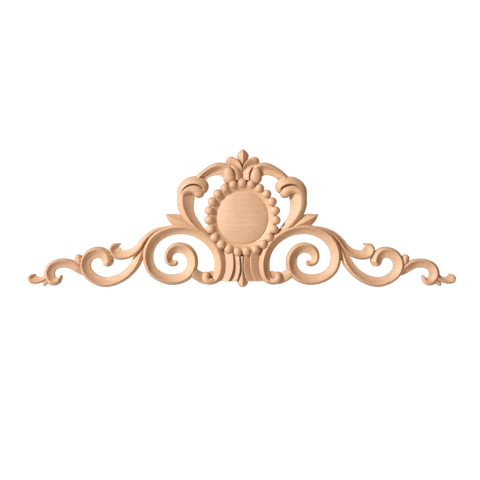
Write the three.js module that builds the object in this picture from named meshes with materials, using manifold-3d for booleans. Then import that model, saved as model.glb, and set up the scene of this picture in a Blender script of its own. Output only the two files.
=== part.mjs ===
// Carved openwork headpiece in pale hardwood, one solid with a flat back.
// Millimetres, +Z up. The carved face looks along -Y and the flat back lies in
// the plane y = 0. The origin is on the back, behind the centre of the boss.
import * as THREE from "three";
import { mergeVertices } from "three/addons/utils/BufferGeometryUtils.js";
import Module from "manifold-3d";

const wasm = await Module();
wasm.setup();

// ---------------------------------------------------------------- driving sizes
const STEP_LENGTH = 18;      // longest facet along a stroke
const STEP_TURN = 27;        // largest turn in degrees between two sections
const BACK = 2;              // stock left behind the back plane until it is cut flat

// Boss: a shallow dome in a sloping ledge, ringed by beads
const DOME_R = 37;           // edge of the dome
const DOME_TOP = 15.2;       // height of the dome over the back
const DOME_EDGE = 9.7;       // height of the dome at its edge
const GROOVE = 8.6;          // bottom of the groove round the dome
const BOSS_X = 0.985;        // the boss is a little taller than wide
const BOSS_Z = 1.03;
const LEDGE_R = 45.6;        // top of the ledge round the dome
const LEDGE_TOP = 12.4;
const RIM_R = 50;            // floor on which the beads stand
const RIM_TOP = 10.8;
const BEAD_COUNT = 23;
const BEAD_RING_X = 48.4;    // the ring is a little taller than wide
const BEAD_RING_Z = 49.9;
const BEAD_R = 6.8;          // across the ring
const BEAD_LONG = 7.15;      // along the radius
const BEAD_TOP = 16.4;
const BEAD_SHOULDER = 9;     // where the bead's dome starts

// Every carved band is a stroke: a start point, a heading in degrees, a run of
// tangent arcs [length, turn], widths evenly spaced from start to end, crest
// heights (also evenly spaced) and a section. crest is the place of the ridge
// from -1 (right edge along the run) to 1 (left edge). nose = round end; swing =
// place of the ridge at the round end; lean = turn of the last cut in degrees;
// axis = x of the mirror plane where it is not 0.
const STROKES = {
  // the big C-scroll, from its foot up, over and into the inner volute
  scroll: { at: [-53.9, -93], head: -17.7,
    runs: [[24.9, 90.1], [47.1, 57], [83.7, 80.2], [58.2, 91.4], [4, 12.5], [45.9, 69.1], [38.9, 90.8], [28.8, 87.5], [19.9, 80.4], [12.4, 98]],
    w: [5.2, 15.9, 16, 15.4, 14.7, 14.3, 15.7, 15.3, 14.2, 15.2, 15.7, 15.9, 14.1, 8.4],
    h: [12.6, 13.8, 14, 13.8, 14.2, 14.6, 14.8, 14.8, 14.8, 14.8, 14.6, 13.8, 13, 11.8],
    crest: [-0.2, -0.15, -0.12, -0.22, -0.34, -0.4, -0.42, -0.44, -0.46, -0.48, -0.48, -0.46, -0.4, -0.3],
    swing: 0.5, section: "band", nose: [1, 1] },
  // the short leaf that ties the foot to the scroll, and the rolled foot itself
  tie: { at: [-51.6, -89.4], head: 164, runs: [[22, -24]], w: [16, 16, 15, 13.8], h: [4.8, 7.6, 11.2, 14.4],
    crest: [0, 0, 0, 0], section: "slab", nose: [0, 0] },
  footBall: { at: [-43.5, -91.9], head: 184.1, runs: [[4, -13.1], [10, -103.9]], w: [8.7, 10.6, 12.4, 11.9],
    h: [13, 14, 14.4, 13.8], crest: [0, 0, 0, 0], section: "disc", nose: [1, 1] },
  // the leaf lying on the outside of the C-scroll and running out to the wing
  wing: { at: [-101.5, -13.5], head: -178.3,
    runs: [[19.8, 18.1], [35.2, 38], [26.7, -46.1], [8.9, -23.7], [10, -47.8], [9, -97.2], [7.5, 0.3]],
    w: [3.2, 4.8, 6.2, 7.2, 7.9, 8.9, 9.9, 11.2, 12.6, 14, 15.9, 10.4, 2],
    h: [11, 12.6, 13, 13, 12.8, 12.6, 12.4, 12.2, 12, 11.8, 11.2, 10.4, 8.6],
    crest: [0.1, 0.15, 0.2, 0.25, 0.35, 0.45, 0.5, 0.52, 0.56, 0.6, 0.6, 0.5, 0.3], section: "band", nose: [0, 0] },
  // the flat S-scroll of the wing, from its root in the groove to its volute
  sweep: { at: [-134.9, -29.3], head: -123.2,
    runs: [[35.6, 9.7], [54.2, -56.3], [9, -19], [21.6, -33.7], [11.1, -29.1], [29.9, -91.6], [7.9, -27.3], [17.9, -71.5]],
    w: [5.2, 10.4, 14.3, 13.5, 13.9, 14.4, 14.3, 15.3, 15.7, 16.5, 16.8],
    h: [7.5, 9, 12, 12.8, 12.8, 12.6, 12.4, 12.4, 12.4, 12.4, 12.2],
    crest: [0, 0.1, 0.3, 0.45, 0.5, 0.52, 0.52, 0.55, 0.55, 0.45, 0.1], swing: -0.75, section: "band", nose: [0, 1] },
  bud: { at: [-234.9, -67.7], head: 107.6, runs: [[9.4, -2.6]], w: [9.1, 11, 11.4], h: [8.6, 10.2, 9.6],
    crest: [0.2, 0.2, 0.1], section: "round", nose: [0, 1] },
  // the small hooked scroll near the end, its curl and the two little lobes
  hook: { at: [-229.3, -78.6], head: 150, runs: [[17, -1.1], [29, 55.9], [23.5, 95.6], [15.5, 115.6], [4, 16.2]],
    w: [12.2, 13.3, 13.4, 13.4, 13.8, 14.6, 16, 12.4, 4.4], h: [6.5, 11.2, 11.4, 11.2, 11, 10.8, 10.6, 10, 9],
    crest: [-0.2, -0.4, -0.5, -0.5, -0.5, -0.5, -0.4, -0.2, 0.2], section: "band", nose: [0, 1] },
  curl: { at: [-284.2, -86.6], head: -150.7, runs: [[6.7, -7.7], [14.6, -47.6]], w: [11, 8.6, 8.6, 11.4, 13.4],
    h: [9, 9.4, 9.8, 10.2, 10.4], crest: [0.1, 0.2, 0.35, 0.5, 0.55], section: "band", nose: [0, 1] },
  curlTip: { at: [-305.8, -87.6], head: 77.5, runs: [[4.6, -42.6], [3.9, -27.3]], w: [10.2, 5.8, 1.8],
    h: [10.2, 9.6, 8], crest: [0.5, 0.4, 0.2], section: "band", nose: [0, 0] },
  spur: { at: [-281.6, -89.4], head: -130, runs: [[9.2, 3]], w: [5.4, 5.8, 6, 5.4], h: [8, 8.4, 8.4, 8],
    crest: [0, 0, 0], section: "round", nose: [0, 1] },
  // the pointed leaf between the arm and the C-scroll
  leaf: { at: [-68.2, -17.7], head: 148.6, runs: [[34, 7.5], [14.6, -14]], w: [4.3, 11, 16.8, 18.8, 14.1, 1.2],
    h: [11, 12.4, 12.8, 12.6, 12, 10], crest: [0.1, 0.1, 0.08, 0.05, 0, 0], section: "leaf", nose: [0, 0] },
  // the arm that embraces the boss, its two overlapping leaf curls and the bough
  arm: { at: [-81.2, 37.4], head: -89.5, runs: [[11.2, -8.2], [26.4, 42.1], [40.5, 19.9]],
    w: [25.1, 25.1, 22.2, 17.6, 13.9, 10.5, 7.7], h: [12.6, 13.4, 14.2, 14.2, 13.2, 11.4, 9.8],
    crest: [-0.36, -0.3, -0.25, -0.3, -0.35, -0.3, -0.2], section: "slope", nose: [0, 0] },
  cap: { at: [-91.8, 28], head: 87.3, runs: [[5.3, -0.7], [42.6, -109], [6.8, -26.9], [9.8, -68.8]],
    w: [4.6, 6.9, 8.5, 9.8, 10.9, 11.9, 12.5, 11.4, 7], h: [12.6, 13.6, 14.8, 16.2, 17.2, 17.6, 17.2, 16.2, 14.6],
    crest: [-0.7, -0.8, -0.85, -0.85, -0.85, -0.85, -0.8, -0.7, -0.5], section: "hood", nose: [0, 1] },
  lobe: { at: [-88.4, 23.6], head: 83.2, runs: [[9.1, -12.6], [20.7, -80.7], [9.4, -55.2]],
    w: [5.2, 7.3, 10.3, 13.4, 15.4, 15.7], h: [12.6, 13.4, 13.8, 14.2, 14.6, 14.2],
    crest: [0.1, 0.1, 0.05, 0, -0.1, -0.2], section: "disc", nose: [0, 1] },
  bough: { at: [-63.2, 53.4], head: 55.8, runs: [[31.3, -42.3], [18.3, -56.2]],
    w: [13.9, 13.3, 14.2, 16.7, 18.6, 21], h: [13.2, 14, 14.6, 14.8, 14.8, 14.6],
    crest: [0.34, 0.34, 0.36, 0.4, 0.44, 0.48], section: "flute", nose: [0, 0] },
  // the crown over the boss
  ball: { at: [-19.3, 73.4], head: -89, runs: [[15.4, 6.8]], w: [10.2, 15.2, 17.9, 18.6],
    h: [13.6, 15.4, 16.6, 16.4], crest: [0, 0, 0, 0], axis: 0.9, section: "disc", nose: [1, 1] },
  crescent: { at: [-33.3, 76.2], head: 8.3, runs: [[19.3, -25.9], [15.8, -64.3], [9.2, -10]],
    w: [3.8, 4.3, 5.8, 8.7, 10.4, 11], h: [13.6, 14.2, 14.8, 15, 14.8, 14.2],
    crest: [0, -0.2, -0.5, -0.7, -0.75, -0.75], axis: 0.9, section: "round", nose: [0, 0] },
  crownLobe: { at: [0.3, 65.8], head: 115.7, runs: [[19.3, 33.7], [4, 12.8]], w: [2.3, 7.7, 12.2, 14.9, 14.8],
    h: [12.6, 13.8, 14.6, 14.4, 13.4], crest: [-0.8, -0.8, -0.8, -0.75, -0.5], axis: 0.9, section: "lobe",
    nose: [0, 1] },
  // two sloping petals each side of the stem below the boss
  petalA: { at: [-20, -46.7], head: -77.1, runs: [[25, -17], [13.4, -18], [9.4, -28]],
    w: [12.5, 13, 12.7, 11.9, 10.4], h: [12, 13.4, 13.8, 13.4, 12.4], crest: [0.8, 0.8, 0.8, 0.8, 0.8], lean: 47,
    section: "petal", nose: [0, 0] },
  petalB: { at: [-9.7, -46.7], head: -87, runs: [[19.2, 5.7], [27, -42.4]], w: [11.6, 11.4, 10.3, 10.7, 11.6],
    h: [11.6, 12.6, 13, 12.6, 11.8], crest: [0.8, 0.8, 0.8, 0.8, 0.8], lean: 33.7, section: "petal", nose: [0, 0] },
};
// strokes on the axis, which are made once
const AXIS_STROKES = {
  crownLeaf: { at: [1.3, 72.2], head: 90, runs: [[27, 0]], w: [1.4, 4.4, 7.6, 11.6, 15.9, 18.6, 18.8, 15, 3.6],
    h: [10.5, 11.5, 12.6, 13.8, 14.6, 14.6, 13.8, 12, 9], crest: [0, 0, 0, 0, 0, 0, 0, 0, 0], section: "leaf",
    nose: [0, 0] },
  crownFloor: { at: [0, 45], head: 90, runs: [[40, 0]], w: [34, 34, 29, 17], h: [7.6, 7.6, 7.6, 7.6],
    crest: [0, 0, 0, 0], section: "flat", nose: [0, 0] },
  apron: { at: [0, -46], head: -90, runs: [[46.2, 0]], w: [57, 54, 54, 60], h: [6.4, 6.4, 6.4, 6.4],
    crest: [0, 0, 0, 0], section: "flat", nose: [0, 0] },
  finial: { at: [0.7, -55.8], head: -91.1, runs: [[37.2, 2.3]], w: [9, 6.2, 4, 3.6, 3.8, 4.5, 6.6, 11, 15.4],
    h: [14, 14.6, 17, 17, 16.2, 15.2, 14.6, 14.2, 13.4], crest: [0, 0, 0, 0, 0, 0, 0, 0, 0], section: "leaf",
    nose: [0, 1] },
};
// low floors in the eyes of the curls and under the crown: [x, z, radius, height]
const FLOORS = [[-44.4, -83.4, 6.4, 5], [-26.4, -45.4, 6.5, 6.4], [-20.8, 47.4, 4.2, 7], [-45.9, -23.6, 4.4, 7], [-11.8, 61.4, 4.6, 7.6], [-15, 67, 5.4, 8], [-180.4, -46.4, 4.4, 5], [-58.1, 43.6, 3.2, 8], [-22.9, 76.6, 2.6, 8], [-188.5, -55.8, 2.4, 6.6], [-241.8, -63.5, 2.4, 7], [-35.7, -34.7, 2.4, 8]];

// Sections: how high the surface stands, as parts of the crest's height. near
// runs from the edge on the short side (0) to the crest (1), far from the crest
// (0) to the other edge (1).
const SECTIONS = {
  band:  { near: [[0, 0.5], [0.45, 0.8]], far: [[0.4, 0.68], [1, 0.47]] },
  slope: { near: [[0, 0.62], [0.5, 0.9]], far: [[0.42, 0.68], [1, 0.46]] },
  flute: { near: [[0, 0.56], [0.5, 0.88]], far: [[0.34, 0.61], [0.7, 0.56], [1, 0.6]] },
  petal: { near: [[0, 0.84]], far: [[0.5, 0.84], [1, 0.62]] },
  hood:  { near: [[0, 0.8]], far: [[0.5, 0.84], [1, 0.56]] },
  lobe:  { near: [[0, 0.84]], far: [[0.5, 0.76], [1, 0.46]] },
  leaf:  { near: [[0, 0.56]], far: [[1, 0.56]] },
  round: { near: [[0, 0.5], [0.4, 0.87]], far: [[0.55, 0.88], [1, 0.5]] },
  disc:  { near: [[0, 0.62], [0.35, 0.92]], far: [[0.65, 0.92], [1, 0.62]] },
  slab:  { near: [[0, 0.7], [0.4, 0.95]], far: [[0.6, 0.95], [1, 0.7]] },
  flat:  { near: [[0, 1]], far: [[1, 1]] },
};
const EDGE_MIN = 0.5;

// ---------------------------------------------------------------- helpers
const RAD = Math.PI / 180;
const lerp = (a, b, t) => a + (b - a) * t;

// value at fraction f of an evenly spaced table, smooth between entries
function table(values, f) {
  const n = values.length - 1;
  const g = Math.min(Math.max(f, 0), 1) * n;
  const i = Math.min(Math.floor(g), n - 1), t = g - i;
  const at = (k) => values[Math.min(Math.max(k, 0), n)];
  const m0 = (at(i + 1) - at(i - 1)) / 2, m1 = (at(i + 2) - at(i)) / 2;
  const t2 = t * t, t3 = t2 * t;
  return (2 * t3 - 3 * t2 + 1) * at(i) + (t3 - 2 * t2 + t) * m0 + (3 * t2 - 2 * t3) * at(i + 1) + (t3 - t2) * m1;
}

// points along a run of tangent arcs, each with its heading and curvature
function walk(stroke) {
  const total = stroke.runs.reduce((sum, run) => sum + run[0], 0);
  let [x, z] = stroke.at, heading = stroke.head * RAD, done = 0;
  const points = [];
  for (const [length, turnDegrees] of stroke.runs) {
    const turn = turnDegrees * RAD;
    const steps = Math.max(1, Math.ceil(Math.max(length / STEP_LENGTH, Math.abs(turnDegrees) / STEP_TURN,
      length / total * (stroke.w.length - 1) * (stroke.section === "flat" ? 0 : 1))));
    for (let i = points.length ? 1 : 0; i <= steps; i++) {
      const part = i / steps, a = heading + turn * part;
      const chord = Math.abs(turn) < 1e-6 ? [Math.cos(heading) * length * part, Math.sin(heading) * length * part]
        : [(Math.sin(a) - Math.sin(heading)) * length / turn, (Math.cos(heading) - Math.cos(a)) * length / turn];
      points.push({ x: x + chord[0], z: z + chord[1], heading: a, bend: turn / length, f: (done + length * part) / total });
    }
    const end = points[points.length - 1];
    x = end.x; z = end.z; heading = end.heading; done += length;
  }
  return points;
}

// stations of a stroke: centre, heading, the two half widths, crest and heights
function stations(stroke) {
  const points = walk(stroke);
  const limit = points.map((p, i) => {
    const bends = [points[Math.max(i - 1, 0)], p, points[Math.min(i + 1, points.length - 1)]].map((q) => q.bend);
    return { left: Math.max(...bends, 1e-9), right: Math.max(...bends.map((b) => -b), 1e-9) };
  });
  const list = points.map((p, i) => {
    const half = table(stroke.w, p.f) / 2;
    return { ...p, left: Math.min(half, 0.86 / limit[i].left), right: Math.min(half, 0.86 / limit[i].right),
      half, h: table(stroke.h, p.f), crest: table(stroke.crest, p.f), nose: 0,
      lean: (stroke.lean ?? 0) * RAD * Math.max(0, (p.f - 0.7) / 0.3) };
  });
  for (let pass = 0; pass < 2; pass++) {
    for (const side of ["left", "right"]) {
      const old = list.map((s) => s[side]);
      for (let i = 1; i < list.length - 1; i++) list[i][side] = Math.min(old[i], (old[i - 1] + 2 * old[i] + old[i + 1]) / 4);
    }
  }
  const nose = (from, sign) => [30, 58, 80].map((degrees) => {
    const c = Math.cos(degrees * RAD), s = Math.sin(degrees * RAD) * from.half * sign;
    return { ...from, x: from.x + Math.cos(from.heading) * s, z: from.z + Math.sin(from.heading) * s,
      left: from.left * c, right: from.right * c, half: from.half * c, nose: 1 - c,
      crest: sign > 0 ? lerp(from.crest, stroke.swing ?? from.crest, 1 - c * c) : from.crest };
  });
  const head = stroke.nose[0] ? nose(list[0], -1).reverse() : [];
  const tail = stroke.nose[1] ? nose(list[list.length - 1], 1) : [];
  return [...head, ...list, ...tail];
}

// outline of one section as [offset to the left, height], from right to left
function section(kind, s) {
  const k = SECTIONS[kind];
  const flip = s.crest > 0 ? -1 : 1;
  const crest = -Math.abs(s.crest);
  const thin = Math.min(1, s.half / 4.2);
  const level = (v) => s.h * lerp(lerp(EDGE_MIN, v, thin), EDGE_MIN, s.nose * 0.9);
  const row = [...k.near.map(([t, v]) => [lerp(-1, crest, t), v]), [crest, 1], ...k.far.map(([t, v]) => [lerp(crest, 1, t), v])];
  const out = row.map(([t, v]) => [t * flip, level(v)]).map(([t, v]) => [t < 0 ? t * s.right : t * s.left, v]);
  return flip > 0 ? out : out.reverse();
}

// closed mesh of one stroke, standing on the plane y = BACK
function strokeGeometry(stroke) {
  const list = stations(stroke);
  const position = [], index = [];
  let ring = 0;
  for (const s of list) {
    const top = section(stroke.section, s);
    const row = [[top[0][0], -BACK], ...top, [top[top.length - 1][0], -BACK]];
    ring = row.length;
    const across = s.heading + s.lean, wide = 1 / Math.cos(s.lean);
    for (const [offset, height] of row) {
      position.push(s.x - Math.sin(across) * offset * wide, -height, s.z + Math.cos(across) * offset * wide);
    }
  }
  for (let i = 0; i < list.length - 1; i++) {
    for (let j = 0; j < ring; j++) {
      const a = i * ring + j, b = i * ring + (j + 1) % ring, c = a + ring, d = b + ring;
      index.push(a, c, b, b, c, d);
    }
  }
  for (const [i, order] of [[0, 1], [list.length - 1, -1]]) {
    const s = list[i], centre = position.length / 3;
    const shift = (s.left - s.right) / 2;
    position.push(s.x - Math.sin(s.heading) * shift, -s.h * 0.3, s.z + Math.cos(s.heading) * shift);
    for (let j = 0; j < ring; j++) {
      const a = i * ring + j, b = i * ring + (j + 1) % ring;
      if (order > 0) index.push(centre, a, b); else index.push(centre, b, a);
    }
  }
  const geometry = new THREE.BufferGeometry();
  geometry.setAttribute("position", new THREE.Float32BufferAttribute(position, 3));
  geometry.setIndex(index);
  return geometry;
}

// solid of revolution about the -Y direction: profile as [radius, height]
function turned(profile, sides) {
  const geometry = new THREE.LatheGeometry(profile.map(([r, h]) => new THREE.Vector2(r, h)), sides);
  geometry.rotateX(Math.PI);                  // carved side to -Y
  return geometry;
}

function bead(angle) {
  const dome = [0, 34, 66].map((a) => [Math.cos(a * RAD), BEAD_SHOULDER + (BEAD_TOP - BEAD_SHOULDER) * Math.sin(a * RAD)]);
  const geometry = new THREE.LatheGeometry([[0, -BACK], [1, -BACK], ...dome, [0, BEAD_TOP]].map(([r, h]) => new THREE.Vector2(r, h)), 10);
  geometry.scale(BEAD_R, 1, BEAD_LONG);       // axis still along +Y
  geometry.rotateX(Math.PI);                  // carved side to -Y
  geometry.rotateY(angle);
  geometry.translate(0.4 + BEAD_RING_X * Math.sin(angle), 0, 0.2 + BEAD_RING_Z * Math.cos(angle));
  return geometry;
}

function mirrored(geometry, axis = 0) {
  const copy = geometry.clone().scale(-1, 1, 1).translate(2 * axis, 0, 0);
  const index = copy.index.array;
  for (let i = 0; i < index.length; i += 3) [index[i], index[i + 1]] = [index[i + 1], index[i]];
  return copy;
}

// closed three.js mesh to solid, faces turned outwards
function solid(geometry) {
  const bare = geometry.clone();
  for (const name of ["normal", "uv"]) bare.deleteAttribute(name);
  const merged = mergeVertices(bare, 1e-4);
  const v = merged.attributes.position.array;
  const tri = [];
  for (let i = 0; i < merged.index.count; i += 3) {
    const [a, b, c] = [0, 1, 2].map((k) => merged.index.getX(i + k));
    if (a !== b && b !== c && a !== c) tri.push(a, b, c);
  }
  let volume = 0;
  for (let i = 0; i < tri.length; i += 3) {
    const [a, b, c] = [tri[i] * 3, tri[i + 1] * 3, tri[i + 2] * 3];
    volume += v[a] * (v[b + 1] * v[c + 2] - v[b + 2] * v[c + 1]) - v[a + 1] * (v[b] * v[c + 2] - v[b + 2] * v[c]) + v[a + 2] * (v[b] * v[c + 1] - v[b + 1] * v[c]);
  }
  if (volume < 0) for (let i = 0; i < tri.length; i += 3) [tri[i], tri[i + 1]] = [tri[i + 1], tri[i]];
  return new wasm.Manifold(new wasm.Mesh({ numProp: 3, vertProperties: Float32Array.from(v), triVerts: Uint32Array.from(tri) }));
}

// ---------------------------------------------------------------- the carving
const boss = turned([[0, -BACK], [RIM_R, -BACK], [RIM_R, RIM_TOP], [LEDGE_R, LEDGE_TOP],
  [DOME_R + 0.9, GROOVE], [DOME_R, DOME_EDGE], ...[0.84, 0.62, 0.34].map((r) => [DOME_R * r, lerp(DOME_EDGE, DOME_TOP, Math.sqrt(1 - r * r * 0.5) * 3.414 - 2.414)]),
  [0, DOME_TOP]], 42).scale(BOSS_X, 1, BOSS_Z).translate(0.4, 0, 0.2);

let work = solid(boss);
for (let i = 0; i < BEAD_COUNT; i++) work = work.add(solid(bead(i * 2 * Math.PI / BEAD_COUNT)));
for (const stroke of Object.values(AXIS_STROKES)) work = work.add(solid(strokeGeometry(stroke)));
for (const stroke of Object.values(STROKES)) {
  const geometry = strokeGeometry(stroke);
  work = work.add(solid(geometry)).add(solid(mirrored(geometry, stroke.axis)));
}
for (const [x, z, r, h] of FLOORS) {
  const floor = new THREE.CylinderGeometry(r, r, h + BACK, r < 3.5 ? 6 : 10);
  for (const side of [1, -1]) {
    const placed = floor.clone().translate(side * x, -(h - BACK) / 2, z);
    work = work.add(solid(placed));
  }
}
// cut the back flat
const saw = new THREE.BoxGeometry(900, 40, 500).translate(0, 20, 0);
work = work.subtract(solid(saw));

function toGeometry(manifold) {
  const mesh = manifold.getMesh();
  const raw = new THREE.BufferGeometry();
  const np = mesh.numProp, count = mesh.vertProperties.length / np;
  const xyz = new Float32Array(count * 3);
  for (let i = 0; i < count; i++) for (let k = 0; k < 3; k++) xyz[i * 3 + k] = mesh.vertProperties[i * np + k];
  raw.setAttribute("position", new THREE.BufferAttribute(xyz, 3));
  raw.setIndex(new THREE.BufferAttribute(Uint32Array.from(mesh.triVerts), 1));
  raw.computeVertexNormals();
  return raw;
}

const wood = new THREE.MeshStandardMaterial({ color: 0xd9ab83, roughness: 0.62, metalness: 0 });
const headpiece = new THREE.Mesh(toGeometry(work), wood);
headpiece.name = "headpiece";

const group = new THREE.Group();
group.add(headpiece);
export default group;
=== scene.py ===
import math
import bpy
import bmesh
import numpy as np
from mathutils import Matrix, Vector, noise


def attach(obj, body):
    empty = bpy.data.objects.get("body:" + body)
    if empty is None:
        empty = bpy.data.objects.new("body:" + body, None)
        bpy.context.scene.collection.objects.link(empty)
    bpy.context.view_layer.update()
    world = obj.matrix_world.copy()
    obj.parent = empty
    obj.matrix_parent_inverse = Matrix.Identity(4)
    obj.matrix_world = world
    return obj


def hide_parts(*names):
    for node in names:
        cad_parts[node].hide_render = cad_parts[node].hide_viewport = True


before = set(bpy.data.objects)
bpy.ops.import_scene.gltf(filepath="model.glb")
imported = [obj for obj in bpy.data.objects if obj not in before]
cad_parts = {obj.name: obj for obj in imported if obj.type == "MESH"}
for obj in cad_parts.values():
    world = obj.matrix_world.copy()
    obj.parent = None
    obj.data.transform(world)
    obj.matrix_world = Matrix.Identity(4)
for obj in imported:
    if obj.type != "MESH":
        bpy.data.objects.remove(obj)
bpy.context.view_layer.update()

scene = bpy.context.scene

# ------------------------------------------------------------------ sizes (mm)
STEP_LENGTH = 1.5      # between sections along a stroke
STEP_TURN = 4.5        # degrees
BACK = 2.0                               # stock behind the back plane until it is sawn flat
EDGE_MIN = 0.5

DOME_R, DOME_TOP, DOME_EDGE, GROOVE = 37.0, 15.2, 9.7, 8.6
BOSS_X, BOSS_Z = 0.985, 1.03
LEDGE_R, LEDGE_TOP = 45.6, 12.4
RIM_R, RIM_TOP = 50.0, 10.8
BEAD_COUNT, RING_X, RING_Z, BEAD_R, BEAD_LONG, BEAD_TOP, BEAD_SHOULDER = 23, 48.4, 49.9, 6.8, 7.15, 16.4, 9.0

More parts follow.
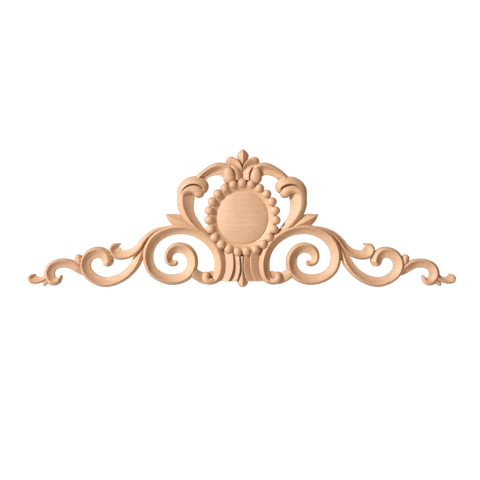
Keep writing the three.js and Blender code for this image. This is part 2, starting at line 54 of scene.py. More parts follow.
# strokes as in the solid: start, heading, tangent arcs, widths, crest heights,
# place of the crest, section and round ends
STROKES = {
    "scroll": dict(at=(-53.9, -93), head=-17.7,
        runs=[(24.9, 90.1), (47.1, 57), (83.7, 80.2), (58.2, 91.4), (4, 12.5), (45.9, 69.1), (38.9, 90.8), (28.8, 87.5), (19.9, 80.4), (12.4, 98)],
        w=[5.2, 15.9, 16.0, 15.4, 14.7, 14.3, 15.7, 15.3, 14.2, 15.2, 15.7, 15.9, 14.1, 8.4],
        h=[12.6, 13.8, 14, 13.8, 14.2, 14.6, 14.8, 14.8, 14.8, 14.8, 14.6, 13.8, 13, 11.8],
        crest=[-0.2, -0.15, -0.12, -0.22, -0.34, -0.4, -0.42, -0.44, -0.46, -0.48, -0.48, -0.46, -0.4, -0.3], swing=0.5, section="band", nose=(1, 1)),
    "tie": dict(at=(-51.6, -89.4), head=164, runs=[(22, -24)], w=[16, 16, 15, 13.8],
        h=[4.8, 7.6, 11.2, 14.4], crest=[0, 0, 0, 0], section="slab", nose=(0, 0)),
    "foot_ball": dict(at=(-43.5, -91.9), head=184.1,
        runs=[(4, -13.1), (10, -103.9)],
        w=[8.7, 10.6, 12.4, 11.9],
        h=[13, 14, 14.4, 13.8], crest=[0, 0, 0, 0], section="disc", nose=(1, 1)),
    "wing": dict(at=(-101.5, -13.5), head=-178.3,
        runs=[(19.8, 18.1), (35.2, 38), (26.7, -46.1), (8.9, -23.7), (10, -47.8), (9, -97.2), (7.5, 0.3)],
        w=[3.2, 4.8, 6.2, 7.2, 7.9, 8.9, 9.9, 11.2, 12.6, 14.0, 15.9, 10.4, 2.0],
        h=[11, 12.6, 13, 13, 12.8, 12.6, 12.4, 12.2, 12, 11.8, 11.2, 10.4, 8.6],
        crest=[0.1, 0.15, 0.2, 0.25, 0.35, 0.45, 0.5, 0.52, 0.56, 0.6, 0.6, 0.5, 0.3], section="band", nose=(0, 0)),
    "sweep": dict(at=(-134.9, -29.3), head=-123.2,
        runs=[(35.6, 9.7), (54.2, -56.3), (9, -19), (21.6, -33.7), (11.1, -29.1), (29.9, -91.6), (7.9, -27.3), (17.9, -71.5)],
        w=[5.2, 10.4, 14.3, 13.5, 13.9, 14.4, 14.3, 15.3, 15.7, 16.5, 16.8],
        h=[7.5, 9, 12, 12.8, 12.8, 12.6, 12.4, 12.4, 12.4, 12.4, 12.2],
        crest=[0, 0.1, 0.3, 0.45, 0.5, 0.52, 0.52, 0.55, 0.55, 0.45, 0.1], swing=-0.75, section="band", nose=(0, 1)),
    "bud": dict(at=(-234.9, -67.7), head=107.6, runs=[(9.4, -2.6)], w=[9.1, 11, 11.4], h=[8.6, 10.2, 9.6],
        crest=[0.2, 0.2, 0.1], section="round", nose=(0, 1)),
    "hook": dict(at=(-229.3, -78.6), head=150, runs=[(17, -1.1), (29, 55.9), (23.5, 95.6), (15.5, 115.6), (4, 16.2)],
        w=[12.2, 13.3, 13.4, 13.4, 13.8, 14.6, 16, 12.4, 4.4], h=[6.5, 11.2, 11.4, 11.2, 11, 10.8, 10.6, 10, 9],
        crest=[-0.2, -0.4, -0.5, -0.5, -0.5, -0.5, -0.4, -0.2, 0.2], section="band", nose=(0, 1)),
    "curl": dict(at=(-284.2, -86.6), head=-150.7, runs=[(6.7, -7.7), (14.6, -47.6)], w=[11, 8.6, 8.6, 11.4, 13.4],
        h=[9, 9.4, 9.8, 10.2, 10.4], crest=[0.1, 0.2, 0.35, 0.5, 0.55], section="band", nose=(0, 1)),
    "curl_tip": dict(at=(-305.8, -87.6), head=77.5, runs=[(4.6, -42.6), (3.9, -27.3)], w=[10.2, 5.8, 1.8],
        h=[10.2, 9.6, 8], crest=[0.5, 0.4, 0.2], section="band", nose=(0, 0)),
    "spur": dict(at=(-281.6, -89.4), head=-130, runs=[(9.2, 3)], w=[5.4, 5.8, 6, 5.4], h=[8, 8.4, 8.4, 8],
        crest=[0, 0, 0], section="round", nose=(0, 1)),
    "leaf": dict(at=(-68.2, -17.7), head=148.6, runs=[(34, 7.5), (14.6, -14)], w=[4.3, 11, 16.8, 18.8, 14.1, 1.2],
        h=[11, 12.4, 12.8, 12.6, 12, 10], crest=[0.1, 0.1, 0.08, 0.05, 0, 0], section="leaf", nose=(0, 0)),
    "arm": dict(at=(-81.2, 37.4), head=-89.5, runs=[(11.2, -8.2), (26.4, 42.1), (40.5, 19.9)],
        w=[25.1, 25.1, 22.2, 17.6, 13.9, 10.5, 7.7], h=[12.6, 13.4, 14.2, 14.2, 13.2, 11.4, 9.8],
        crest=[-0.36, -0.3, -0.25, -0.3, -0.35, -0.3, -0.2], section="slope", nose=(0, 0)),
    "cap": dict(at=(-91.8, 28), head=87.3,
        runs=[(5.3, -0.7), (42.6, -109), (6.8, -26.9), (9.8, -68.8)],
        w=[4.6, 6.9, 8.5, 9.8, 10.9, 11.9, 12.5, 11.4, 7.0],
        h=[12.6, 13.6, 14.8, 16.2, 17.2, 17.6, 17.2, 16.2, 14.6], crest=[-0.7, -0.8, -0.85, -0.85, -0.85, -0.85, -0.8, -0.7, -0.5], section="hood", nose=(0, 1)),
    "lobe": dict(at=(-88.4, 23.6), head=83.2,
        runs=[(9.1, -12.6), (20.7, -80.7), (9.4, -55.2)],
        w=[5.2, 7.3, 10.3, 13.4, 15.4, 15.7],
        h=[12.6, 13.4, 13.8, 14.2, 14.6, 14.2], crest=[0.1, 0.1, 0.05, 0, -0.1, -0.2], section="disc", nose=(0, 1)),
    "bough": dict(at=(-63.2, 53.4), head=55.8,
        runs=[(31.3, -42.3), (18.3, -56.2)],
        w=[13.9, 13.3, 14.2, 16.7, 18.6, 21.0],
        h=[13.2, 14, 14.6, 14.8, 14.8, 14.6], crest=[0.34, 0.34, 0.36, 0.4, 0.44, 0.48], section="flute", nose=(0, 0)),
    "ball": dict(at=(-19.3, 73.4), head=-89,
        runs=[(15.4, 6.8)],
        w=[10.2, 15.2, 17.9, 18.6],
        h=[13.6, 15.4, 16.6, 16.4], crest=[0, 0, 0, 0], section="disc", axis=0.9, nose=(1, 1)),
    "crescent": dict(at=(-33.3, 76.2), head=8.3,
        runs=[(19.3, -25.9), (15.8, -64.3), (9.2, -10)],
        w=[3.8, 4.3, 5.8, 8.7, 10.4, 11.0],
        h=[13.6, 14.2, 14.8, 15, 14.8, 14.2], crest=[0, -0.2, -0.5, -0.7, -0.75, -0.75], section="round", axis=0.9, nose=(0, 0)),
    "crown_lobe": dict(at=(0.3, 65.8), head=115.7,
        runs=[(19.3, 33.7), (4, 12.8)],
        w=[2.3, 7.7, 12.2, 14.9, 14.8],
        h=[12.6, 13.8, 14.6, 14.4, 13.4], crest=[-0.8, -0.8, -0.8, -0.75, -0.5], section="lobe", axis=0.9, nose=(0, 1)),
    "petal_a": dict(at=(-20, -46.7), head=-77.1,
        runs=[(25, -17), (13.4, -18), (9.4, -28)],
        w=[12.5, 13.0, 12.7, 11.9, 10.4],
        h=[12, 13.4, 13.8, 13.4, 12.4], crest=[0.8, 0.8, 0.8, 0.8, 0.8], lean=47, section="petal", nose=(0, 0)),
    "petal_b": dict(at=(-9.7, -46.7), head=-87,
        runs=[(19.2, 5.7), (27, -42.4)],
        w=[11.6, 11.4, 10.3, 10.7, 11.6],
        h=[11.6, 12.6, 13, 12.6, 11.8], crest=[0.8, 0.8, 0.8, 0.8, 0.8], lean=33.7, section="petal", nose=(0, 0)),
}
AXIS_STROKES = {
    "crown_leaf": dict(at=(1.3, 72.2), head=90,
        runs=[(27, -0)],
        w=[1.4, 4.4, 7.6, 11.6, 15.9, 18.6, 18.8, 15, 3.6],
        h=[10.5, 11.5, 12.6, 13.8, 14.6, 14.6, 13.8, 12, 9], crest=[0] * 9, section="leaf", nose=(0, 0)),
    "crown_floor": dict(at=(0, 45), head=90, runs=[(40, 0)], w=[34, 34, 29, 17], h=[7.6, 7.6, 7.6, 7.6], crest=[0, 0, 0, 0], section="flat", nose=(0, 0)),
    "apron": dict(at=(0, -46), head=-90, runs=[(46.2, 0)], w=[57, 54, 54, 60], h=[6.4, 6.4, 6.4, 6.4], crest=[0, 0, 0, 0], section="flat", nose=(0, 0)),
    "finial": dict(at=(0.7, -55.8), head=-91.1, runs=[(37.2, 2.3)], w=[9, 6.2, 4, 3.6, 3.8, 4.5, 6.6, 11, 15.4],
        h=[14, 14.6, 17, 17, 16.2, 15.2, 14.6, 14.2, 13.4], crest=[0] * 9, section="leaf", nose=(0, 1)),
}
FLOORS = [(-44.4, -83.4, 6.4, 5), (-26.4, -45.4, 6.5, 6.4), (-20.8, 47.4, 4.2, 7), (-45.9, -23.6, 4.4, 7), (-11.8, 61.4, 4.6, 7.6), (-15, 67, 5.4, 8), (-180.4, -46.4, 4.4, 5.0),
          (-58.1, 43.6, 3.2, 8), (-22.9, 76.6, 2.6, 8), (-188.5, -55.8, 2.4, 6.6), (-241.8, -63.5, 2.4, 7), (-35.7, -34.7, 2.4, 8)]

# section: edge and bevel on the near side of the crest, then the far side
SECTIONS = {
    "band": dict(near=[(0.0, 0.5), (0.45, 0.8)], far=[(0.25, 0.78), (0.5, 0.61), (0.78, 0.51), (1.0, 0.47)]),
    "slope": dict(near=[(0.0, 0.62), (0.35, 0.84), (0.7, 0.96)], far=[(0.2, 0.82), (0.45, 0.66), (0.75, 0.52), (1.0, 0.46)]),
    "flute": dict(near=[(0.0, 0.56), (0.35, 0.82), (0.7, 0.95)], far=[(0.15, 0.8), (0.34, 0.61), (0.6, 0.55), (0.85, 0.61), (1.0, 0.6)]),
    "petal": dict(near=[(0.0, 0.84)], far=[(0.25, 0.93), (0.5, 0.83), (0.75, 0.73), (1.0, 0.62)]),
    "hood": dict(near=[(0.0, 0.8)], far=[(0.22, 0.95), (0.5, 0.84), (0.8, 0.7), (1.0, 0.56)]),
    "lobe": dict(near=[(0.0, 0.84)], far=[(0.25, 0.9), (0.5, 0.76), (0.75, 0.6), (1.0, 0.46)]),
    "leaf": dict(near=[(0.0, 0.56), (0.5, 0.78)], far=[(0.5, 0.78), (1.0, 0.56)]),
    "round": dict(near=[(0.0, 0.5), (0.3, 0.8), (0.65, 0.96)], far=[(0.3, 0.97), (0.6, 0.86), (0.85, 0.68), (1.0, 0.5)]),
    "disc": dict(near=[(0.0, 0.62), (0.2, 0.84), (0.55, 0.97)], far=[(0.45, 0.97), (0.8, 0.84), (1.0, 0.62)]),
    "slab": dict(near=[(0.0, 0.7), (0.4, 0.95)], far=[(0.6, 0.95), (1.0, 0.7)]),
    "flat": dict(near=[(0.0, 1.0)], far=[(1.0, 1.0)]),
}


def lerp(a, b, t):
    return a + (b - a) * t


def table(values, f):
    n = len(values) - 1
    g = min(max(f, 0.0), 1.0) * n
    i = min(int(g), n - 1)
    t = g - i
    at = lambda k: values[min(max(k, 0), n)]
    m0, m1 = (at(i + 1) - at(i - 1)) / 2, (at(i + 2) - at(i)) / 2
    t2, t3 = t * t, t * t * t
    return (2 * t3 - 3 * t2 + 1) * at(i) + (t3 - 2 * t2 + t) * m0 + (3 * t2 - 2 * t3) * at(i + 1) + (t3 - t2) * m1


def walk(stroke):
    total = sum(r[0] for r in stroke["runs"])
    x, z = stroke["at"]
    heading = math.radians(stroke["head"])
    done, points = 0.0, []
    for length, degrees in stroke["runs"]:
        turn = math.radians(degrees)
        steps = max(1, math.ceil(max(length / STEP_LENGTH, abs(degrees) / STEP_TURN)))
        if stroke["section"] == "flat":
            steps = 6
        for i in range(1 if points else 0, steps + 1):
            part = i / steps
            a = heading + turn * part
            if abs(turn) < 1e-6:
                cx, cz = math.cos(heading) * length * part, math.sin(heading) * length * part
            else:
                cx = (math.sin(a) - math.sin(heading)) * length / turn
                cz = (math.cos(heading) - math.cos(a)) * length / turn
            points.append(dict(x=x + cx, z=z + cz, heading=a, bend=turn / length, f=(done + length * part) / total))
        x, z, heading = points[-1]["x"], points[-1]["z"], points[-1]["heading"]
        done += length
    return points


def stations(stroke):
    points = walk(stroke)
    n = len(points)
    out = []
    for i, p in enumerate(points):
        bends = [points[max(i - 1, 0)]["bend"], p["bend"], points[min(i + 1, n - 1)]["bend"]]
        lim_l, lim_r = max(max(bends), 1e-9), max(max(-b for b in bends), 1e-9)
        half = table(stroke["w"], p["f"]) / 2
        out.append(dict(p, left=min(half, 0.88 / lim_l), right=min(half, 0.88 / lim_r), half=half,
                        h=table(stroke["h"], p["f"]), crest=table(stroke["crest"], p["f"]), nose=0.0,
                        lean=math.radians(stroke.get("lean", 0)) * max(0.0, (p["f"] - 0.7) / 0.3)))
    for _ in range(14):
        for side in ("left", "right"):
            old = [s[side] for s in out]
            for i in range(1, n - 1):
                out[i][side] = min(old[i], (old[i - 1] + 2 * old[i] + old[i + 1]) / 4)

    def nose(frm, sign):
        ring = []
        steps = 10
        for k in range(1, steps + 1):
            a = math.radians(86 * k / steps)
            c, s = math.cos(a), math.sin(a) * frm["half"] * sign
            ring.append(dict(frm, x=frm["x"] + math.cos(frm["heading"]) * s, z=frm["z"] + math.sin(frm["heading"]) * s,
                             left=frm["left"] * c, right=frm["right"] * c, half=frm["half"] * c, nose=1 - c,
                             crest=lerp(frm["crest"], stroke.get("swing", frm["crest"]) if sign > 0 else frm["crest"], math.sin(a) ** 2)))
        return ring

    head = nose(out[0], -1)[::-1] if stroke["nose"][0] else []
    tail = nose(out[-1], 1) if stroke["nose"][1] else []
    return head + out + tail


def corner_cut(points):
    """One round of corner cutting that keeps both ends."""
    out = [points[0]]
    for a, b in zip(points[:-1], points[1:]):
        out.append((lerp(a[0], b[0], 0.25), lerp(a[1], b[1], 0.25)))
        out.append((lerp(a[0], b[0], 0.75), lerp(a[1], b[1], 0.75)))
    out.append(points[-1])
    return [out[0]] + out[2:-2] + [out[-1]]


def section(kind, s):
    k = SECTIONS[kind]
    flip = -1 if s["crest"] > 0 else 1
    crest = -abs(s["crest"])
    thin = min(1.0, s["half"] / 4.2)

    def level(v):
        return s["h"] * lerp(lerp(EDGE_MIN, v, thin), EDGE_MIN, s["nose"] * 0.9)

    def place(t):
        t *= flip
        return t * s["right"] if t < 0 else t * s["left"]

    rows = [(lerp(-1, crest, t), v) for t, v in k["near"]]
    if kind != "flat":
        soft = 0.09
        a = (rows[-1][0], rows[-1][1])
        b = (lerp(crest, 1, k["far"][0][0]), k["far"][0][1])
        rows += [(lerp(crest, a[0], soft * 2.4), lerp(1, a[1], soft * 2.4)), (crest, 1.0), (lerp(crest, b[0], soft * 2.4), lerp(1, b[1], soft * 2.4))]
    rows += [(lerp(crest, 1, t), v) for t, v in k["far"]]
    pts = [(place(t), level(v)) for t, v in rows]
    if flip < 0:
        pts = pts[::-1]
    drop = min(1.5, 0.35 * s["half"] + 0.2)
    first, last = pts[0], pts[-1]
    pts = [(first[0], -BACK), (first[0], first[1] - drop)] + pts + [(last[0], last[1] - drop), (last[0], -BACK)]
    body = corner_cut(pts[1:-1])
    return [pts[0]] + body + [pts[-1]]


def stroke_mesh(stroke):
    rings = []
    for s in stations(stroke):
        wide = 1 / math.cos(s["lean"])
        c, sn = math.cos(s["heading"] + s["lean"]) * wide, math.sin(s["heading"] + s["lean"]) * wide
        rings.append([(s["x"] - sn * o, -h, s["z"] + c * o) for o, h in section(stroke["section"], s)])
    n = len(rings[0])
    verts = [p for ring in rings for p in ring]
    faces = []
    for i in range(len(rings) - 1):
        for j in range(n):
            a, b = i * n + j, i * n + (j + 1) % n
            faces.append((a, a + n, b + n, b))
    for i, forward in ((0, True), (len(rings) - 1, False)):
        ring = rings[i]
        mid = ((ring[0][0] + ring[-1][0]) / 2, -4.0, (ring[0][2] + ring[-1][2]) / 2)
        centre = len(verts)
        verts.append(mid)
        for j in range(n):
            a, b = i * n + j, i * n + (j + 1) % n
            faces.append((centre, a, b) if forward else (centre, b, a))
    return verts, faces


def turned_mesh(profile, sides, cx=0.0, cz=0.0, sx=1.0, sz=1.0, angle=0.0):
    """Solid of revolution about the Y direction; profile runs (radius, height) from axis to axis."""
    verts, faces, rows = [], [], []
    ca, sa = math.cos(angle), math.sin(angle)
    for r, h in profile:
        if r < 1e-9:
            rows.append([len(verts)])
            verts.append((cx, -h, cz))
        else:
            row = []
            for k in range(sides):
                a = 2 * math.pi * k / sides
                x, z = r * math.cos(a) * sx, r * math.sin(a) * sz
                row.append(len(verts))
                verts.append((cx + ca * x + sa * z, -h, cz - sa * x + ca * z))
            rows.append(row)
    for a, b in zip(rows[:-1], rows[1:]):
        for k in range(sides):
            k2 = (k + 1) % sides
            if len(a) == 1:
                faces.append((a[0], b[k], b[k2]))
            elif len(b) == 1:
                faces.append((a[k], b[0], a[k2]))
            else:
                faces.append((a[k], b[k], b[k2], a[k2]))
    return verts, faces


def make(name, verts, faces, mirror=None):
    co = np.array(verts, float) * 0.001
    if mirror is not None:
        co[:, 0] = 0.002 * mirror - co[:, 0]
        faces = [tuple(reversed(f)) for f in faces]
    me = bpy.data.meshes.new(name)
    me.from_pydata([tuple(v) for v in co], [], faces)
    bm = bmesh.new()
    bm.from_mesh(me)
    bmesh.ops.triangulate(bm, faces=bm.faces)
    if bm.calc_volume(signed=True) < 0:
        bmesh.ops.reverse_faces(bm, faces=bm.faces)
    bm.to_mesh(me)
    bm.free()
    ob = bpy.data.objects.new(name, me)
    scene.collection.objects.link(ob)
    return ob


def boolean(target, tool, operation):
    mod = target.modifiers.new("cut", "BOOLEAN")
    mod.operation = operation
    mod.solver = "MANIFOLD"
    mod.object = tool
    dg = bpy.context.evaluated_depsgraph_get()
    me = bpy.data.meshes.new_from_object(target.evaluated_get(dg), depsgraph=dg)
    target.modifiers.clear()
    old = target.data
    target.data = me
    bpy.data.meshes.remove(old)
    old = tool.data
    bpy.data.objects.remove(tool)
    bpy.data.meshes.remove(old)


def join_all(objects):
    """Union in pairs, so that no step is much larger than it has to be."""
    while len(objects) > 1:
        nxt = []
        for i in range(0, len(objects) - 1, 2):
            boolean(objects[i], objects[i + 1], "UNION")
            nxt.append(objects[i])
        if len(objects) % 2:
            nxt.append(objects[-1])
        objects = nxt
    return objects[0]


pieces = []
profile = [(0, -BACK), (RIM_R, -BACK), (RIM_R, RIM_TOP - 0.8), (RIM_R - 0.8, RIM_TOP), (LEDGE_R + 1.6, LEDGE_TOP - 1.2), (LEDGE_R + 0.4, LEDGE_TOP - 0.1), (LEDGE_R - 0.6, LEDGE_TOP - 0.3),
           (DOME_R + 2.6, GROOVE + 0.9), (DOME_R + 1.4, GROOVE + 0.2), (DOME_R + 0.9, GROOVE), (DOME_R + 0.4, GROOVE + 0.15)]
for k in range(0, 16):
    r = 1 - k / 16
    profile.append((DOME_R * r, lerp(DOME_EDGE, DOME_TOP, math.sqrt(1 - r * r * 0.5) * 3.414 - 2.414)))
profile.append((0, DOME_TOP))
pieces.append(make("boss", *turned_mesh(profile, 96, 0.4, 0.2, BOSS_X, BOSS_Z)))

bead_sides, bead_rows = ((24, 9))
for i in range(BEAD_COUNT):
    a = i * 2 * math.pi / BEAD_COUNT
    jit = [noise.noise(Vector((i * 7.31 + q * 3.7, 2.2 + q, 0.5))) for q in range(4)]
    out_x, out_z = RING_X + 0.5 * jit[0], RING_Z + 0.5 * jit[0]
    prof = [(0, -BACK), (1, -BACK), (1, BEAD_SHOULDER - 4)]
    for k in range(bead_rows):
        e = math.radians(90 * k / bead_rows)
        prof.append((math.cos(e), BEAD_SHOULDER + (BEAD_TOP + 0.35 * jit[1] - BEAD_SHOULDER) * math.sin(e)))
    prof.append((0, BEAD_TOP + 0.35 * jit[1]))
    a2 = a + 0.008 * jit[3]
    pieces.append(make("bead", *turned_mesh(prof, bead_sides, 0.4 + out_x * math.sin(a2), 0.2 + out_z * math.cos(a2), BEAD_R * (1 + 0.03 * jit[2]), BEAD_LONG * (1 + 0.04 * jit[3]), a)))
for name, stroke in AXIS_STROKES.items():
    pieces.append(make(name, *stroke_mesh(stroke)))
for name, stroke in STROKES.items():
    v, f = stroke_mesh(stroke)
    pieces.append(make(name + "_l", v, f))
    pieces.append(make(name + "_r", v, f, mirror=stroke.get("axis", 0.0)))
for x, z, r, h in FLOORS:
    for side in (1, -1):
        pieces.append(make("floor", *turned_mesh([(0, -BACK), (r, -BACK), (r, h), (0, h)], 24, x * side, z)))

carving = join_all(pieces)
saw = make("saw", *turned_mesh([(0, -40), (600, -40), (600, 0), (0, 0)], 48))
boolean(carving, saw, "DIFFERENCE")
carving.name = "carved_headpiece"

# small unevenness of handwork: nothing moves on the flat back. The noise takes
# its offsets from the clock unless it is given a seed.
noise.seed_set(11)
me = carving.data
n = len(me.vertices)
co = np.empty(n * 3)
me.vertices.foreach_get("co", co)
co = co.reshape(-1, 3)
for i in range(n):
    x, y, z = co[i]
    if y > -1e-5:
        continue
    p = Vector((x, y, z))
    a = noise.noise_vector(p * 38.0)
    b = noise.noise_vector(p * 120.0 + Vector((3.1, 9.2, 1.7)))
    k = min(1.0, -y / 0.006)
    co[i] = (x + (0.00050 * a.x + 0.00014 * b.x) * k, y + (0.00045 * a.y + 0.00012 * b.y) * k, z + (0.00050 * a.z + 0.00014 * b.z) * k)
me.vertices.foreach_set("co", co.ravel())
me.update()
me.polygons.foreach_set("use_smooth", [True] * len(me.polygons))
me.set_sharp_from_angle(angle=math.radians(38))
print("carving", len(me.vertices), "verts", sum(len(p.vertices) - 2 for p in me.polygons), "tris")

# ------------------------------------------------------------------ wood
def wood_material():
    mat = bpy.data.materials.new("pale_hardwood")
    mat.use_nodes = True
    nt = mat.node_tree
    nt.nodes.clear()
    N = lambda kind, **kw: (lambda nd: ([setattr(nd, k, v) for k, v in kw.items()], nd)[1])(nt.nodes.new(kind))
    L = nt.links.new
    out = N("ShaderNodeOutputMaterial")
    bsdf = N("ShaderNodeBsdfPrincipled")
    L(bsdf.outputs["BSDF"], out.inputs["Surface"])
    bsdf.inputs["Specular IOR Level"].default_value = 0.7
    tc = N("ShaderNodeTexCoord")

    def mapped(scale, loc=(0, 0, 0), rot=(0, 0, 0)):
        m = N("ShaderNodeMapping")
        m.inputs["Scale"].default_value = scale
        m.inputs["Location"].default_value = loc
        m.inputs["Rotation"].default_value = rot
        L(tc.outputs["Object"], m.inputs["Vector"])
        return m

    def noise_tex(vec, scale, detail, rough=0.5, dist=0.0):
        t = N("ShaderNodeTexNoise")
        t.inputs["Scale"].default_value = scale
        t.inputs["Detail"].default_value = detail
        t.inputs["Roughness"].default_value = rough
        t.inputs["Distortion"].default_value = dist
        L(vec.outputs["Vector"], t.inputs["Vector"])
        return t

    def math_node(op, a, b=None):
        m = N("ShaderNodeMath", operation=op)
        for i, v in enumerate((a, b)):
            if v is None:
                continue
            if isinstance(v, (int, float)):
                m.inputs[i].default_value = v
            else:
                L(v, m.inputs[i])
        return m.outputs[0]

    def ramp(fac, stops):
        r = N("ShaderNodeValToRGB")
        el = r.color_ramp.elements
        el[0].position, el[0].color = stops[0][0], (*stops[0][1], 1)
        el[1].position, el[1].color = stops[-1][0], (*stops[-1][1], 1)
        for p, c in stops[1:-1]:
            e = el.new(p)
            e.color = (*c, 1)
        L(fac, r.inputs["Fac"])
        return r.outputs["Color"]

    # growth rings: cylinders about the tree's axis, which runs along X
    wobble = noise_tex(mapped((2.2, 9, 9)), 1.0, 3, 0.5)
    sep = N("ShaderNodeSeparateXYZ")
    L(mapped((1, 1, 1), (0, -0.055, 0.19)).outputs["Vector"], sep.inputs["Vector"])
    rr = math_node("SQRT", math_node("ADD", math_node("MULTIPLY", sep.outputs["Y"], sep.outputs["Y"]), math_node("MULTIPLY", sep.outputs["Z"], sep.outputs["Z"])))
    rings = math_node("ADD", math_node("MULTIPLY", rr, 165.0), math_node("MULTIPLY", wobble.outputs["Fac"], 5.5))
    saw_wave = math_node("FRACT", rings)
    ring_col = ramp(saw_wave, [(0.0, (0.0, 0.0, 0.0)), (0.62, (0.42, 0.42, 0.42)), (0.9, (1, 1, 1)), (1.0, (0.0, 0.0, 0.0))])
    # broad cloudiness, fibres and the short dark flecks of the pores
    cloud = noise_tex(mapped((5, 14, 14)), 1.0, 2)
    fibre = noise_tex(mapped((18, 330, 330)), 1.0, 3, 0.55)
    fleck = noise_tex(mapped((90, 900, 900), (0.3, 0.1, 0.7)), 1.0, 1, 0.4)
    fleck_mask = ramp(fleck.outputs["Fac"], [(0.62, (0, 0, 0)), (0.72, (1, 1, 1))])

    def mix(fac, a, b, blend="MIX"):
        m = N("ShaderNodeMix", data_type="RGBA", blend_type=blend)
        if isinstance(fac, (int, float)):
            m.inputs["Factor"].default_value = fac
        else:
            L(fac, m.inputs["Factor"])
        for key, v in (("A", a), ("B", b)):
            sock = [s for s in m.inputs if s.name == key and s.type == "RGBA"][0]
            if isinstance(v, tuple):
                sock.default_value = (*v, 1)
            else:
                L(v, sock)
        return [s for s in m.outputs if s.type == "RGBA"][0]

    base = ramp(cloud.outputs["Fac"], [(0.3, (0.705, 0.398, 0.222)), (0.5, (0.745, 0.45, 0.243)), (0.7, (0.785, 0.492, 0.262))])
    c = mix(math_node("MULTIPLY", ring_col, 0.30), base, (0.56, 0.325, 0.17))
    c = mix(math_node("MULTIPLY", ramp(fibre.outputs["Fac"], [(0.35, (1, 1, 1)), (0.6, (0, 0, 0))]), 0.22), c, (0.50, 0.29, 0.15))
    c = mix(math_node("MULTIPLY", fleck_mask, 0.35), c, (0.36, 0.19, 0.09))
    # broad warm streaks along the grain
    streak = noise_tex(mapped((7, 95, 95), (0.2, 0.4, 0.3)), 1.0, 2, 0.5)
    c = mix(math_node("MULTIPLY", ramp(streak.outputs["Fac"], [(0.5, (0, 0, 0)), (0.72, (1, 1, 1))]), 0.26), c, (0.56, 0.33, 0.165))
    # painted shade: side walls that turn away from the view are painted darker than the face, standing in for the shade
    # on them
    face = N("ShaderNodeNewGeometry")
    side = N("ShaderNodeSeparateXYZ")
    L(face.outputs["True Normal"], side.inputs["Vector"])
    painted_wall_shade = ramp(math_node("ABSOLUTE", side.outputs["Y"]), [(0.08, (1, 1, 1)), (0.42, (0, 0, 0))])
    c = mix(math_node("MULTIPLY", painted_wall_shade, 0.6), c, (0.34, 0.175, 0.075))
    # painted shade: cuts and recesses are darkened by occlusion, where shade falls
    painted_cut_shade = N("ShaderNodeAmbientOcclusion")
    painted_cut_shade.samples = 8
    painted_cut_shade.inputs["Distance"].default_value = 0.007
    c = mix(math_node("MULTIPLY", ramp(painted_cut_shade.outputs["AO"], [(0.05, (1, 1, 1)), (0.66, (0, 0, 0))]), 0.55), c, (0.30, 0.14, 0.06))
    L(c, bsdf.inputs["Base Color"])
    rough = N("ShaderNodeMapRange")
    rough.inputs["To Min"].default_value = 0.5
    rough.inputs["To Max"].default_value = 0.68
    L(fibre.outputs["Fac"], rough.inputs["Value"])
    L(rough.outputs["Result"], bsdf.inputs["Roughness"])
    # fibres, open pores and the faint facets left by the gouge
    gouge = N("ShaderNodeTexVoronoi")
    gouge.feature = "SMOOTH_F1"
    gouge.inputs["Scale"].default_value = 1.0
    gouge.inputs["Smoothness"].default_value = 0.7
    L(mapped((210, 260, 210)).outputs["Vector"], gouge.inputs["Vector"])
    height = math_node("ADD", math_node("MULTIPLY", fibre.outputs["Fac"], 0.10), math_node("MULTIPLY", gouge.outputs["Distance"], 0.05))
    height = math_node("SUBTRACT", height, math_node("MULTIPLY", fleck_mask, 0.12))
    bump = N("ShaderNodeBump")
    bump.inputs["Strength"].default_value = 0.25
    bump.inputs["Distance"].default_value = 0.0006
    L(height, bump.inputs["Height"])
    L(bump.outputs["Normal"], bsdf.inputs["Normal"])
    return mat


wood = wood_material()
carving.data.materials.clear()
carving.data.materials.append(wood)
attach(carving, "root")
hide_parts("headpiece")

# ------------------------------------------------------------------ stage
def pale_floor():
    """Matt pale floor that reads as even white behind the carving."""
    m = bpy.data.materials.new("floor_white")
    m.use_nodes = True
    nt = m.node_tree
    b = nt.nodes["Principled BSDF"]
    b.inputs["Base Color"].default_value = (0.8, 0.8, 0.8, 1)
    b.inputs["Roughness"].default_value = 0.9
    glow = nt.nodes.new("ShaderNodeEmission")
    glow.inputs["Strength"].default_value = 1.05
    path = nt.nodes.new("ShaderNodeLightPath")
    mixer = nt.nodes.new("ShaderNodeMixShader")
    nt.links.new(path.outputs["Is Camera Ray"], mixer.inputs["Fac"])
    nt.links.new(b.outputs["BSDF"], mixer.inputs[1])
    nt.links.new(glow.outputs["Emission"], mixer.inputs[2])
    nt.links.new(mixer.outputs["Shader"], nt.nodes["Material Output"].inputs["Surface"])
    return m


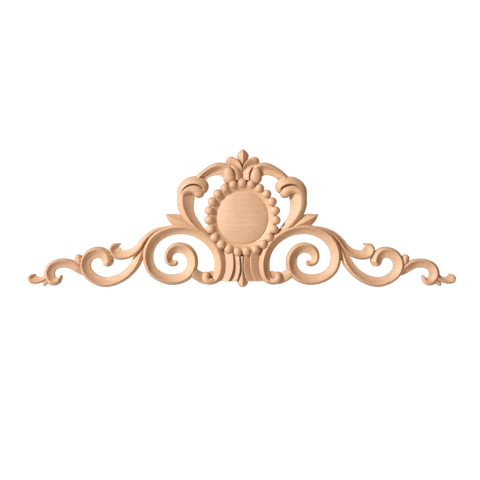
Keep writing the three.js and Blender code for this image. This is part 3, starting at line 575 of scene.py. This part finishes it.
fme = bpy.data.meshes.new("floor_plane")
R = 14.0
fme.from_pydata([(-R, -R, -0.62), (R, -R, -0.62), (R, R, -0.62), (-R, R, -0.62)], [], [(0, 1, 2, 3)])
floor = bpy.data.objects.new("floor_plane", fme)
scene.collection.objects.link(floor)
floor.data.materials.append(pale_floor())

world = bpy.data.worlds.new("studio")
scene.world = world
world.use_nodes = True
wn = world.node_tree
bg = wn.nodes["Background"]
bg.inputs["Color"].default_value = (1.0, 0.57, 0.33, 1)
bg.inputs["Strength"].default_value = 0.26
lit = wn.nodes.new("ShaderNodeBackground")
lit.inputs["Color"].default_value = (1, 1, 1, 1)
lit.inputs["Strength"].default_value = 1.05
path = wn.nodes.new("ShaderNodeLightPath")
blend = wn.nodes.new("ShaderNodeMixShader")
wn.links.new(path.outputs["Is Camera Ray"], blend.inputs["Fac"])
wn.links.new(bg.outputs["Background"], blend.inputs[1])
wn.links.new(lit.outputs["Background"], blend.inputs[2])
wn.links.new(blend.outputs["Shader"], wn.nodes["World Output"].inputs["Surface"])


def area(name, loc, target, size, power, colour=(1, 1, 1)):
    lamp = bpy.data.lights.new(name, "AREA")
    lamp.shape = "DISK"
    lamp.size = size
    lamp.energy = power
    lamp.color = colour
    ob = bpy.data.objects.new(name, lamp)
    ob.location = loc
    ob.rotation_euler = (Vector(target) - Vector(loc)).to_track_quat("-Z", "Y").to_euler()
    scene.collection.objects.link(ob)
    return ob


area("key", (-4.12, -3.63, 2.48), (0, 0, 0), 1.25, 428, (0.905, 1.0, 1.13))
area("back_light", (1.2, 2.4, 1.6), (0, 0, 0), 1.5, 14)

cam_data = bpy.data.cameras.new("camera")
cam_data.lens = 85
cam_data.sensor_width = 36
cam_data.clip_start = 0.01
cam_data.clip_end = 60
cam = bpy.data.objects.new("camera", cam_data)
cam.location = (-0.0029, -1.652, -0.0322)
cam.rotation_euler = (math.radians(90), 0, 0)
scene.collection.objects.link(cam)
scene.camera = cam
scene.view_settings.view_transform = "Standard"
scene.view_settings.look = "None"
